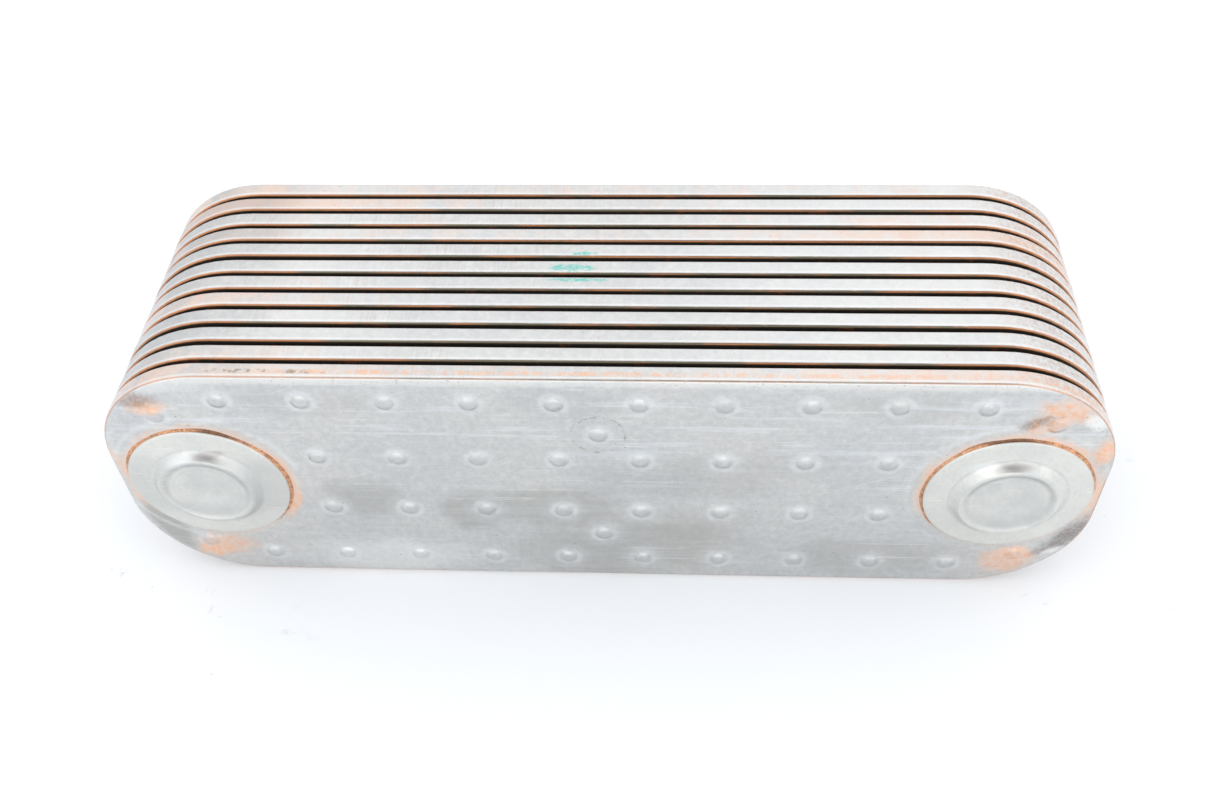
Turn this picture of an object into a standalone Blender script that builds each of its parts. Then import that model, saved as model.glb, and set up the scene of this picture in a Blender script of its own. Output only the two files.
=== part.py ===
"""Brazed plate heat exchanger core: twelve flat oil elements stacked with coolant gaps.

Each element is a deep-drawn tray shell, a folded fin inside it and a cover plate nested in its rim.
Two manifold channels run through the stack. Blind caps close them at the front, and bored flanges
with seals open them at the back. X runs along the plates, Y through the stack from front to back,
and Z is up. The core stands on the lower rims, with its origin under the middle of its box.
"""

import math

import bmesh
import bpy
from mathutils import Vector
from mathutils.geometry import delaunay_2d_cdt

MM = 0.001

# The stack
PLATE_LENGTH = 303 * MM
PLATE_HEIGHT = 96 * MM
CORNER_RADIUS = 37 * MM
ELEMENT_COUNT = 12
ELEMENT_DEPTH = 5.4 * MM
STACK_DEPTH = 87 * MM
BRAZE = 0.3 * MM  # the braze film that joins two pieces

# The pressed sheets
SHEET = 0.8 * MM
RIM_BEND = 1.2 * MM
COVER_RECESS = 0.4 * MM
DIMPLE_FOOT = 2.75 * MM
DIMPLE_TOP = 1.6 * MM

# How far a tray's features stand off its face
TRAY_PAD = 0.4 * MM
TRAY_COLLAR = 0.65 * MM
TRAY_DIMPLE = 0.85 * MM
TRAY_CORNER_DIMPLE = 0.95 * MM
COVER_PAD = 0.6 * MM

# The ports
PORT_X = 122.8 * MM
PORT_RADIUS = 17 * MM
COLLAR_FOOT = 26.1 * MM
COLLAR_TOP = 25.4 * MM

# The raised pad at each end of a plate: round towards the middle, and along the rim elsewhere
PAD_RADIUS = 30 * MM
PAD_INSET = 1.5 * MM
PAD_RAMP = 0.9 * MM
PAD_TURN = 100  # degrees, where the round side ends
PAD_CORNER_TURN = 68  # degrees, where the rim side begins

# The dimple pattern, from the middle of the plate
DIMPLE_PITCH = 24.6 * MM
INNER_ROWS = 12.5 * MM
OUTER_ROWS = 37.6 * MM
MIDDLE_PAIR = 24.3 * MM
CORNER_DIMPLE = (131 * MM, 31.2 * MM)

# The blind cap, as radius and height above the front face
CAP_EDGE = 25 * MM
CAP_FLANGE_TOP = 1.7 * MM
CAP_SLOPE_FOOT = (19 * MM, 2.0 * MM)
CAP_SLOPE_TOP = (14.7 * MM, 3.8 * MM)
CAP_CROWN = (13.7 * MM, 4.85 * MM)

# The folded fin
FIN_HEIGHT = 84 * MM
FIN_FOLDS = 24
FIN_SHEET = 0.36 * MM
FIN_PORT_CLEARANCE = 24 * MM

# The rear flange and its seal
FLANGE_THICKNESS = 7 * MM
FLANGE_RADIUS = 28 * MM
LOBE_RADIUS = 9.5 * MM
LOBE_OFFSET = 31 * MM
TAPPED_RADIUS = 3.4 * MM
TAPPED_DEPTH = 5.5 * MM
FLANGE_CHAMFER = 0.8 * MM
GROOVE_INNER = 20.5 * MM
GROOVE_OUTER = 23.7 * MM
GROOVE_DEPTH = 2.2 * MM

# How many straight pieces a curve is made of
CORNER_STEPS = 6
FINE_CORNER_STEPS = 12
PORT_STEPS = 16
FINE_STEPS = 24
DIMPLE_STEPS = 6

# How flat areas are filled
ALL_TRIANGLES = 0  # delaunay_2d_cdt's output type
MERGE_WITHIN = 1e-7

# Worked out from the above
PITCH = (STACK_DEPTH - ELEMENT_DEPTH) / (ELEMENT_COUNT - 1)
GAP = PITCH - ELEMENT_DEPTH
MIDDLE_Z = PLATE_HEIGHT / 2
COVER_FACE = ELEMENT_DEPTH - COVER_RECESS
REACH = GAP + COVER_RECESS - BRAZE  # what a cover and the next tray share between them
COVER_COLLAR = REACH - TRAY_COLLAR
COVER_DIMPLE = REACH - TRAY_DIMPLE
COVER_CORNER_DIMPLE = REACH - TRAY_CORNER_DIMPLE
FLANGE_SEAT = COVER_FACE + COVER_COLLAR + BRAZE
SEAL_RADIUS = (GROOVE_OUTER - GROOVE_INNER) / 2 - BRAZE
SEAL_RING_RADIUS = (GROOVE_OUTER + GROOVE_INNER) / 2
SEAL_CENTRE = FLANGE_THICKNESS - GROOVE_DEPTH + BRAZE + SEAL_RADIUS
REAR_HEIGHT = FLANGE_SEAT - ELEMENT_DEPTH + SEAL_CENTRE + SEAL_RADIUS
TOTAL_DEPTH = CAP_CROWN[1] + STACK_DEPTH + REAR_HEIGHT
FRONT_FACE_Y = -TOTAL_DEPTH / 2 + CAP_CROWN[1]
REAR_ELEMENT_Y = FRONT_FACE_Y + STACK_DEPTH - ELEMENT_DEPTH
PORTS = {"left": -PORT_X, "right": PORT_X}

# Base colour, metallic and roughness
MATERIALS = {
    "tray_steel": ((0.56, 0.54, 0.51), 0.9, 0.42),
    "cover_steel": ((0.50, 0.50, 0.49), 0.9, 0.45),
    "fin_steel": ((0.45, 0.42, 0.38), 0.9, 0.50),
    "cap_steel": ((0.58, 0.59, 0.55), 0.9, 0.34),
    "flange_steel": ((0.52, 0.53, 0.54), 0.95, 0.30),
    "seal_rubber": ((0.02, 0.02, 0.02), 0.0, 0.60),
}


def crossings(point, corners, edges):
    """For each edge, whether it crosses the line that runs from the point along its first axis."""
    for start, end in ((corners[i], corners[j]) for i, j in edges):
        if (start.y > point.y) != (end.y > point.y):
            yield start.x + (point.y - start.y) * (end.x - start.x) / (end.y - start.y) > point.x


class Body:
    """Gathers the loops and faces of one closed body. A loop is a ring of vertices at one Y."""

    def __init__(self):
        self.bm = bmesh.new()

    def loop(self, outline, y):
        return [self.bm.verts.new((x, y, z)) for x, z in outline]

    def band(self, first, second):
        for i in range(len(first)):
            self.bm.faces.new((first[i - 1], first[i], second[i], second[i - 1]))

    def fill(self, *loops):
        """Fills the flat area that lies inside an odd number of the loops."""
        corners = []
        edges = []
        for loop in loops:
            first = len(corners)
            corners += loop
            edges += [(first + i, first + (i + 1) % len(loop)) for i in range(len(loop))]
        flat = [Vector((vert.co.x, vert.co.z)) for vert in corners]
        for triangle in delaunay_2d_cdt(flat, edges, [], ALL_TRIANGLES, MERGE_WITHIN)[2]:
            middle = sum((flat[i] for i in triangle), Vector((0, 0))) / 3
            if sum(crossings(middle, flat, edges)) % 2:
                self.bm.faces.new([corners[i] for i in triangle])

    def stack(self, *rings):
        """Joins rings, each an outline and its Y, by bands, and returns the first and last loop."""
        loops = [self.loop(outline, y) for outline, y in rings]
        for first, second in zip(loops, loops[1:]):
            self.band(first, second)
        return loops[0], loops[-1]

    def mesh(self, name):
        bmesh.ops.recalc_face_normals(self.bm, faces=self.bm.faces)
        if self.bm.calc_volume(signed=True) < 0:
            bmesh.ops.reverse_faces(self.bm, faces=self.bm.faces)
        mesh = bpy.data.meshes.new(name)
        self.bm.to_mesh(mesh)
        self.bm.free()
        mesh.shade_smooth()
        mesh.set_sharp_from_angle(angle=math.radians(35))
        return mesh


def arc(centre, radius, start, end, steps):
    """Points on an arc in the X-Z plane, both ends included. Angles are in degrees."""
    angles = [math.radians(start + (end - start) * i / steps) for i in range(steps + 1)]
    return [(centre[0] + radius * math.cos(a), centre[1] + radius * math.sin(a)) for a in angles]


def circle(centre, radius, steps):
    return arc(centre, radius, 0, 360, steps)[:-1]


def plate_outline(inset=0.0, steps=CORNER_STEPS):
    """The rounded rectangle of the plates, moved inwards by inset."""
    radius = CORNER_RADIUS - inset
    x = PLATE_LENGTH / 2 - CORNER_RADIUS
    z = MIDDLE_Z - CORNER_RADIUS
    points = []
    for side, level, start in ((x, z, 0), (-x, z, 90), (-x, -z, 180), (x, -z, 270)):
        points += arc((side, MIDDLE_Z + level), radius, start, start + 90, steps)
    return points


def pad_outline(side, inset):
    """The pad round the port on one side, -1 for left and 1 for right. Larger insets are smaller."""
    x = PLATE_LENGTH / 2 - CORNER_RADIUS
    z = MIDDLE_Z - CORNER_RADIUS
    radius = CORNER_RADIUS - inset
    points = arc((x, MIDDLE_Z - z), radius, -PAD_CORNER_TURN, 0, 4)
    points += arc((x, MIDDLE_Z + z), radius, 0, PAD_CORNER_TURN, 4)
    round_side = PAD_RADIUS + PAD_INSET - inset
    points += arc((PORT_X, MIDDLE_Z), round_side, PAD_TURN, 360 - PAD_TURN, 10)
    return [(side * x, z) for x, z in points]


def dimple_centres():
    """Four rows, and a pair on the middle line."""
    centres = []
    for offset, count in ((INNER_ROWS, 8), (OUTER_ROWS, 10)):
        for side in (-1, 1):
            for i in range(count):
                centres.append(((i - (count - 1) / 2) * DIMPLE_PITCH, MIDDLE_Z + side * offset))
    return centres + [(0.0, MIDDLE_Z + side * MIDDLE_PAIR) for side in (-1, 1)]


def press_dimple(body, centre, foot_y, top_y):
    foot, top = body.stack(
        (circle(centre, DIMPLE_FOOT, DIMPLE_STEPS), foot_y),
        (circle(centre, DIMPLE_TOP, DIMPLE_STEPS), top_y),
    )
    body.fill(top)
    return foot


def pressed_face(body, rim, face_y, back_y, heights, detailed):
    """The pressed face inside the rim loop. The port holes run through to back_y.

    heights are those of the pads, collars, dimples and corner dimples, signed as they stand off
    the face. A plain face has collars only. The port loops at back_y are returned."""
    pad, collar, dimple, corner_dimple = heights
    collar_foot_y = face_y + pad if detailed else face_y
    steps = FINE_STEPS if detailed else PORT_STEPS
    feet = []
    port_loops = []
    for side in (-1, 1):
        centre = (side * PORT_X, MIDDLE_Z)
        foot, back = body.stack(
            (circle(centre, COLLAR_FOOT, steps), collar_foot_y),
            (circle(centre, COLLAR_TOP, steps), face_y + collar),
            (circle(centre, PORT_RADIUS, steps), face_y + collar),
            (circle(centre, PORT_RADIUS, steps), back_y),
        )
        port_loops.append(back)
        if detailed:
            x, z = CORNER_DIMPLE
            corners = [
                press_dimple(body, (side * x, MIDDLE_Z + up * z), face_y + pad, face_y + corner_dimple)
                for up in (-1, 1)
            ]
            pad_foot, pad_top = body.stack(
                (pad_outline(side, PAD_INSET), face_y),
                (pad_outline(side, PAD_INSET + PAD_RAMP), face_y + pad),
            )
            body.fill(pad_top, foot, *corners)
            foot = pad_foot
        feet.append(foot)
    for centre in dimple_centres() if detailed else ():
        feet.append(press_dimple(body, centre, face_y, face_y + dimple))
    body.fill(rim, *feet)
    return port_loops


def tray_mesh(name, detailed):
    """A pressed tray: a face at the front, and a rim drawn back from it round a bend."""
    body = Body()
    steps = FINE_CORNER_STEPS if detailed else CORNER_STEPS
    bend = [(plate_outline(RIM_BEND, steps), 0)]
    if detailed:
        slack = RIM_BEND * (1 - math.sqrt(0.5))
        bend.append((plate_outline(slack, steps), slack))
    front, inside = body.stack(
        *bend,
        (plate_outline(0, steps), RIM_BEND),
        (plate_outline(0, steps), ELEMENT_DEPTH),
        (plate_outline(SHEET, steps), ELEMENT_DEPTH),
        (plate_outline(SHEET, steps), SHEET),
    )
    heights = (-TRAY_PAD, -TRAY_COLLAR, -TRAY_DIMPLE, -TRAY_CORNER_DIMPLE)
    holes = pressed_face(body, front, 0, SHEET, heights, detailed)
    body.fill(inside, *holes)
    return body.mesh(name)


def cover_mesh(name, detailed):
    """A flat cover that closes the back of a tray, with its features pressed towards the back."""
    body = Body()
    outline = plate_outline(SHEET + BRAZE)
    back_y = COVER_FACE - SHEET
    inside, outside = body.stack((outline, back_y), (outline, COVER_FACE))
    heights = (COVER_PAD, COVER_COLLAR, COVER_DIMPLE, COVER_CORNER_DIMPLE)
    holes = pressed_face(body, outside, COVER_FACE, back_y, heights, detailed)
    body.fill(inside, *holes)
    return body.mesh(name)


def fin_mesh(name):
    """A folded sheet whose folds run along X. Its ends are cut round to clear the ports."""
    low = SHEET + BRAZE
    high = COVER_FACE - SHEET - BRAZE - FIN_SHEET
    body = Body()
    sections = []
    for i in range(FIN_FOLDS + 1):
        z = (i / FIN_FOLDS - 0.5) * FIN_HEIGHT
        reach = PORT_X - math.sqrt(max(0.0, FIN_PORT_CLEARANCE**2 - z**2))
        y = high if i % 2 else low
        corners = ((-reach, y), (reach, y), (reach, y + FIN_SHEET), (-reach, y + FIN_SHEET))
        sections.append([body.bm.verts.new((x, depth, MIDDLE_Z + z)) for x, depth in corners])
    for first, second in zip(sections, sections[1:]):
        body.band(first, second)
    body.bm.faces.new(sections[0])
    body.bm.faces.new(sections[-1])
    return body.mesh(name)


def cap_mesh(name):
    """A stepped round pressing. Its flange is brazed to the front boss and its crown bulges out."""
    body = Body()
    flange_back = TRAY_COLLAR + BRAZE
    wall = CAP_FLANGE_TOP - flange_back
    profile = [CAP_CROWN, CAP_SLOPE_TOP, CAP_SLOPE_FOOT, (CAP_EDGE, CAP_FLANGE_TOP)]
    profile += [(CAP_EDGE, flange_back), (CAP_SLOPE_FOOT[0], flange_back)]
    profile += [(radius - wall / 2, height - wall) for radius, height in (CAP_SLOPE_TOP, CAP_CROWN)]
    rings = [(circle((0, 0), radius, FINE_STEPS), -height) for radius, height in profile]
    crown, hollow = body.stack(*rings)
    body.fill(crown)
    body.fill(hollow)
    return body.mesh(name)


def flange_outline(inset=0.0):
    """A round flange with a lobe above and below, joined by straight tangents."""
    radius = FLANGE_RADIUS - inset
    lobe = LOBE_RADIUS - inset
    turn = math.degrees(math.asin((FLANGE_RADIUS - LOBE_RADIUS) / LOBE_OFFSET))
    points = arc((0, 0), radius, -turn, turn, 6)
    points += arc((0, LOBE_OFFSET), lobe, turn, 180 - turn, 6)
    points += arc((0, 0), radius, 180 - turn, 180 + turn, 6)
    points += arc((0, -LOBE_OFFSET), lobe, 180 + turn, 360 - turn, 6)
    return points


def flange_mesh(name):
    """A machined flange: a bore, a seal groove round it and a tapped hole in each lobe."""
    body = Body()
    back = FLANGE_THICKNESS
    seat, face = body.stack(
        (flange_outline(), 0),
        (flange_outline(), back - FLANGE_CHAMFER),
        (flange_outline(FLANGE_CHAMFER), back),
    )
    bore, mouth = body.stack(
        (circle((0, 0), PORT_RADIUS, FINE_STEPS), 0),
        (circle((0, 0), PORT_RADIUS, FINE_STEPS), back - FLANGE_CHAMFER),
        (circle((0, 0), PORT_RADIUS + FLANGE_CHAMFER, FINE_STEPS), back),
    )
    groove_inner, groove_outer = body.stack(
        (circle((0, 0), GROOVE_INNER, FINE_STEPS), back),
        (circle((0, 0), GROOVE_INNER, FINE_STEPS), back - GROOVE_DEPTH),
        (circle((0, 0), GROOVE_OUTER, FINE_STEPS), back - GROOVE_DEPTH),
        (circle((0, 0), GROOVE_OUTER, FINE_STEPS), back),
    )
    tapped = []
    for side in (-1, 1):
        hole = circle((0, side * LOBE_OFFSET), TAPPED_RADIUS, 10)
        mouth_loop, bottom = body.stack((hole, back), (hole, back - TAPPED_DEPTH))
        body.fill(bottom)
        tapped.append(mouth_loop)
    body.fill(seat, bore)
    body.fill(groove_inner, mouth)
    body.fill(face, groove_outer, *tapped)
    return body.mesh(name)


def seal_mesh(name):
    """A round seal ring of six-sided section."""
    body = Body()
    rings = []
    for i in range(6):
        turn = math.radians(60 * i)
        radius = SEAL_RING_RADIUS + SEAL_RADIUS * math.sin(turn)
        rings.append(body.loop(circle((0, 0), radius, FINE_STEPS), SEAL_RADIUS * math.cos(turn)))
    for i in range(6):
        body.band(rings[i - 1], rings[i])
    return body.mesh(name)


def material(name):
    colour, metallic, roughness = MATERIALS[name]
    made = bpy.data.materials.new(name)
    made.use_nodes = True
    shader = made.node_tree.nodes["Principled BSDF"]
    shader.inputs["Base Color"].default_value = (*colour, 1)
    shader.inputs["Metallic"].default_value = metallic
    shader.inputs["Roughness"].default_value = roughness
    made.diffuse_color = (*colour, 1)
    return made


def place(name, mesh, location, finish, parent):
    if not mesh.materials:
        mesh.materials.append(finish)
    piece = bpy.data.objects.new(name, mesh)
    piece.location = location
    piece.parent = parent
    bpy.context.scene.collection.objects.link(piece)
    return piece


def build():
    for old in list(bpy.data.objects):
        bpy.data.objects.remove(old, do_unlink=True)
    finish = {name: material(name) for name in MATERIALS}
    core = bpy.data.objects.new("core", None)
    bpy.context.scene.collection.objects.link(core)

    # Element 01 is at the back and carries the flanges. The last one is at the front.
    tray, cover, fin = tray_mesh("tray", False), cover_mesh("cover", False), fin_mesh("fin")
    front_tray, rear_cover = tray_mesh("front_tray", True), cover_mesh("rear_cover", True)
    for number in range(1, ELEMENT_COUNT + 1):
        spot = (0, REAR_ELEMENT_Y - (number - 1) * PITCH, 0)
        tray_here = front_tray if number == ELEMENT_COUNT else tray
        cover_here = rear_cover if number == 1 else cover
        place(f"tray_shell_{number:02d}", tray_here, spot, finish["tray_steel"], core)
        place(f"turbulator_{number:02d}", fin, spot, finish["fin_steel"], core)
        place(f"cover_plate_{number:02d}", cover_here, spot, finish["cover_steel"], core)

    cap, flange, seal = cap_mesh("cap"), flange_mesh("flange"), seal_mesh("seal")
    flange_y = REAR_ELEMENT_Y + FLANGE_SEAT
    for side, x in PORTS.items():
        place(f"blind_cap_{side}", cap, (x, FRONT_FACE_Y, MIDDLE_Z), finish["cap_steel"], core)
        place(f"port_flange_{side}", flange, (x, flange_y, MIDDLE_Z), finish["flange_steel"], core)
        spot = (x, flange_y + SEAL_CENTRE, MIDDLE_Z)
        place(f"port_seal_{side}", seal, spot, finish["seal_rubber"], core)


build()
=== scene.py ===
"""Looks of a brazed plate heat exchanger core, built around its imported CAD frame.

Every pressed sheet is rebuilt as a fine mesh with its dimples, pads and collars, every turned piece
as a fine lathe shape, and the copper braze as beads of its own. Plate coordinates are millimetres:
u runs along X, v along Z, and depth along Y from an element's front face.
"""

import math

import bmesh
import bpy
import numpy as np
from mathutils import Matrix, Vector
from mathutils.geometry import delaunay_2d_cdt


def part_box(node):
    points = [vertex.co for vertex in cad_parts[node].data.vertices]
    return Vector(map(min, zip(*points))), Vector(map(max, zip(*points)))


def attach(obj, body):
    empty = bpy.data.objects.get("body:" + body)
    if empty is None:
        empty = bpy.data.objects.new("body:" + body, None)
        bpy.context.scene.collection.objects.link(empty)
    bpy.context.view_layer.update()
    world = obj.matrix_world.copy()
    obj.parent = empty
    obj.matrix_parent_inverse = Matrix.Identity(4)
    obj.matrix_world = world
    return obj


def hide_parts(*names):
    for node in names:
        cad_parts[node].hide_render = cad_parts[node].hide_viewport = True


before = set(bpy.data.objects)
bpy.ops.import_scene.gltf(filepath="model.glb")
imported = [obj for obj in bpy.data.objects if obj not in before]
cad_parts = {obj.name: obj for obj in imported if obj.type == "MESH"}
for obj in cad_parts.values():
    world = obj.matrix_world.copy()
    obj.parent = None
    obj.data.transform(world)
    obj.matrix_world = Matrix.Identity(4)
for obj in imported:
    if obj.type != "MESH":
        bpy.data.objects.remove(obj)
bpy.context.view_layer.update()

MM = 0.001
ELEMENTS = 12

# Sizes that the CAD model has too, in millimetres
ELEMENT_DEPTH = 5.4
SHEET = 0.8
RIM_BEND = 1.2
CORNER_RADIUS = 37.0
COVER_FACE = ELEMENT_DEPTH - 0.4
COVER_INSET = 1.1
PORT_RADIUS = 17.0
COLLAR_TOP = 25.4
COLLAR_FOOT = 26.1
PAD_RADIUS = 30.0
DIMPLE_PITCH = 24.6
INNER_ROWS = 12.5
OUTER_ROWS = 37.6
MIDDLE_PAIR = 24.3
CORNER_DIMPLE = (131.0, 31.2)
TRAY_HEIGHTS = {"pad": 0.4, "collar": 0.65, "dimple": 1.1, "corner": 1.3}
COVER_HEIGHTS = {"pad": 0.6, "collar": 1.468, "dimple": 1.268, "corner": 1.168}
FLANGE_BODY = 28.0
LOBE_RADIUS = 9.5
LOBE_OFFSET = 31.0
GROOVE_DEPTH = 2.2

# Sizes of the looks alone, in millimetres
DIMPLE_RADIUS = 2.85
DIMPLE_SKIRT = 4.5
INNER_BEND = 0.5
COVER_FLAT_EDGE = 0.3
SEAL_RADIUS = 22.1
SEAL_THICKNESS = 1.3

# Places that the frame gives, in millimetres
PLATE_LOW, PLATE_HIGH = (np.array(corner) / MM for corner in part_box("tray_shell_12"))
HALF_LENGTH = float(PLATE_HIGH[0] - PLATE_LOW[0]) / 2
PLATE_HEIGHT = float(PLATE_HIGH[2] - PLATE_LOW[2])
MIDDLE_V = PLATE_HEIGHT / 2
PORT_U = float(sum(corner[0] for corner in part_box("blind_cap_right"))) / 2 / MM
FACE_Y = {n: float(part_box(f"tray_shell_{n:02d}")[1][1] / MM - ELEMENT_DEPTH) for n in range(1, ELEMENTS + 1)}
FRONT_Y = FACE_Y[ELEMENTS]
FLANGE_Y = float(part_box("port_flange_right")[0][1] / MM)
FLANGE_BACK_Y = float(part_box("port_flange_right")[1][1] / MM)
SIDES = {"left": -1, "right": 1}

# How finely a sheet is meshed: points round a corner, a port and a dimple, then steps in mm along the edge
# and over the face, the least spacing of points, and the rings that follow the edge, ports and dimples
FINE = {
    "corner": 28,
    "port": 120,
    "dimple": 24,
    "edge_step": 2.5,
    "face_step": 2.4,
    "margin": 0.4,
    "spacing": 0.45,
    "edge_rings": (0.5, 1.2, 2.0, 3.0),
    "port_rings": (20, 22.5, 24.6, 25.2, 25.5, 25.8, 26.1, 26.5, 27.4, 28.3, 29, 29.7, 30.4, 31.2, 32.2, 34),
    "dimple_rings": (0.7, 1.3, 1.8, 2.25, 2.6, 2.85, 3.1, 3.7, 4.6),
}
COARSE = {
    "corner": 16,
    "port": 48,
    "dimple": 10,
    "edge_step": 6.0,
    "face_step": 6.0,
    "margin": 1.0,
    "spacing": 1.2,
    "edge_rings": (1.5,),
    "port_rings": (22, 25.4, 26.4, 29, 31.2),
    "dimple_rings": (1.5, 2.4, 2.85, 4.2),
}


# ---------------------------------------------------------------- shapes


def smooth(low, high, value):
    """0 at low and 1 at high, with an even start and end. low may be the larger."""
    t = np.clip((value - low) / (high - low), 0, 1)
    return t * t * (3 - 2 * t)


def soft_min(a, b, width):
    t = np.clip(0.5 + 0.5 * (b - a) / width, 0, 1)
    return b + (a - b) * t - width * t * (1 - t)


def waves(position, seed, lengths, height):
    """A slow random unevenness, as a sum of sines over position, an array of two columns."""
    random = np.random.default_rng(seed)
    total = np.zeros(len(position))
    for length in lengths:
        for _ in range(3):
            direction = random.normal(size=position.shape[1])
            direction *= 2 * np.pi / length / np.linalg.norm(direction)
            total += np.sin(position @ direction + random.uniform(0, 2 * np.pi))
    return height * total / (3 * len(lengths)) ** 0.5


def edge_distance(u, v):
    """How far a point lies inside the plate's outline."""
    qu = np.abs(u) - (HALF_LENGTH - CORNER_RADIUS)
    qv = np.abs(v - MIDDLE_V) - (MIDDLE_V - CORNER_RADIUS)
    outside = np.hypot(np.maximum(qu, 0), np.maximum(qv, 0))
    return CORNER_RADIUS - outside - np.minimum(np.maximum(qu, qv), 0)


def plain_dimples():
    """The four rows and the pair on the middle line."""
    centres = []
    for offset, count in ((INNER_ROWS, 8), (OUTER_ROWS, 10)):
        for side in (-1, 1):
            for i in range(count):
                centres.append(((i - (count - 1) / 2) * DIMPLE_PITCH, MIDDLE_V + side * offset))
    return centres + [(0.0, MIDDLE_V + side * MIDDLE_PAIR) for side in (-1, 1)]


def corner_dimples():
    u, v = CORNER_DIMPLE
    return [(su * u, MIDDLE_V + sv * v) for su in (-1, 1) for sv in (-1, 1)]


def dimple_shape(radius):
    """A crisp low dome on a soft skirt, as a share of its height."""
    share = np.clip(radius / DIMPLE_RADIUS, 0, 1)
    return 0.88 * (1 - share**2.6) + 0.12 * smooth(DIMPLE_SKIRT, 2.4, radius)


def pressed_height(u, v, heights, seed):
    """How far the pressed sheet stands off its flat face."""
    du = np.abs(u) - PORT_U
    dv = v - MIDDLE_V
    radius = np.hypot(du, dv)
    # The pad is round towards the middle and spreads to the rim at the end of the plate
    lean = np.where(dv > 0, 1.0, 0.5)
    rise = np.maximum(np.abs(dv) - 31, 0)
    wedge = (lean * rise - 3.3 - du) / np.where(rise > 0, np.sqrt(1 + lean**2), 1)
    pad = smooth(1.4, -1.6, soft_min(radius - PAD_RADIUS, wedge, 4.0))
    height = heights["pad"] * pad * smooth(0.8, 3.6, edge_distance(u, v))
    height += (heights["collar"] - height) * smooth(COLLAR_FOOT + 0.3, COLLAR_TOP, radius)
    flat = smooth(COLLAR_FOOT, COLLAR_FOOT + 8, radius)
    height += flat * waves(np.column_stack((u, v)), seed, (150, 70, 38), 0.035)
    # A ring mark round each of the middle pair
    for side in (-1, 1):
        ring = np.hypot(u, dv - side * MIDDLE_PAIR)
        height -= 0.035 * np.exp(-(((ring - 7.8) / 0.5) ** 2))
    for centres, name in ((plain_dimples(), "dimple"), (corner_dimples(), "corner")):
        for cu, cv in centres:
            near = np.hypot(u - cu, v - cv)
            base = heights["pad"] if name == "corner" else 0.0
            height += (heights[name] - base) * dimple_shape(near) * (near < DIMPLE_SKIRT + 0.4)
    return height


def outline(inset, detail):
    """The plate's outline moved inwards, as an array of (u, v) with points along its straight runs."""
    radius = CORNER_RADIUS - inset
    cu = HALF_LENGTH - CORNER_RADIUS
    cv = MIDDLE_V - CORNER_RADIUS
    points = []
    for su, sv, start in ((1, 1, 0), (-1, 1, 90), (-1, -1, 180), (1, -1, 270)):
        for i in range(detail["corner"] + 1):
            turn = math.radians(start + 90 * i / detail["corner"])
            points.append((su * cu + radius * math.cos(turn), MIDDLE_V + sv * cv + radius * math.sin(turn)))
    filled = []
    for first, second in zip(points, points[1:] + points[:1]):
        pieces = max(1, round(math.dist(first, second) / detail["edge_step"]))
        for i in range(pieces):
            share = i / pieces
            filled.append([a + (b - a) * share for a, b in zip(first, second)])
    return np.array(filled)


def circle(cu, cv, radius, steps, turn=0.0):
    angles = np.arange(steps) * 2 * np.pi / steps + turn
    return np.column_stack((cu + radius * np.cos(angles), cv + radius * np.sin(angles)))


def ports(detail):
    """The outlines of the two port holes."""
    return [circle(side * PORT_U, MIDDLE_V, PORT_RADIUS, detail["port"]) for side in (-1, 1)]


def thin_out(points, fixed, spacing):
    """Drops the points that lie within spacing of a fixed one."""
    keep = np.ones(len(points), bool)
    block = 500
    for start in range(0, len(fixed), block):
        part = fixed[start : start + block]
        gaps = np.hypot(points[:, None, 0] - part[None, :, 0], points[:, None, 1] - part[None, :, 1])
        keep &= gaps.min(axis=1) > spacing
    return points[keep]


def triangulate(loops, free=()):
    """Triangles that fill the first loop, less the others, through the free points."""
    corners = np.vstack([*loops, free]) if len(free) else np.vstack(loops)
    edges = []
    start = 0
    for loop in loops:
        edges += [(start + i, start + (i + 1) % len(loop)) for i in range(len(loop))]
        start += len(loop)
    made = delaunay_2d_cdt([Vector(p) for p in corners], edges, [], 0, 1e-5)
    points = np.array([tuple(p) for p in made[0]])
    triangles = np.array(made[2])
    middles = points[triangles].mean(axis=1)
    inside = np.zeros(len(middles), bool)
    for loop in loops:
        for (u0, v0), (u1, v1) in zip(loop, np.roll(loop, -1, axis=0)):
            spans = (v0 > middles[:, 1]) != (v1 > middles[:, 1])
            if spans.any():
                at = u0 + (middles[:, 1] - v0) * (u1 - u0) / (v1 - v0)
                inside ^= spans & (at > middles[:, 0])
    return points, triangles[inside]


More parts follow.
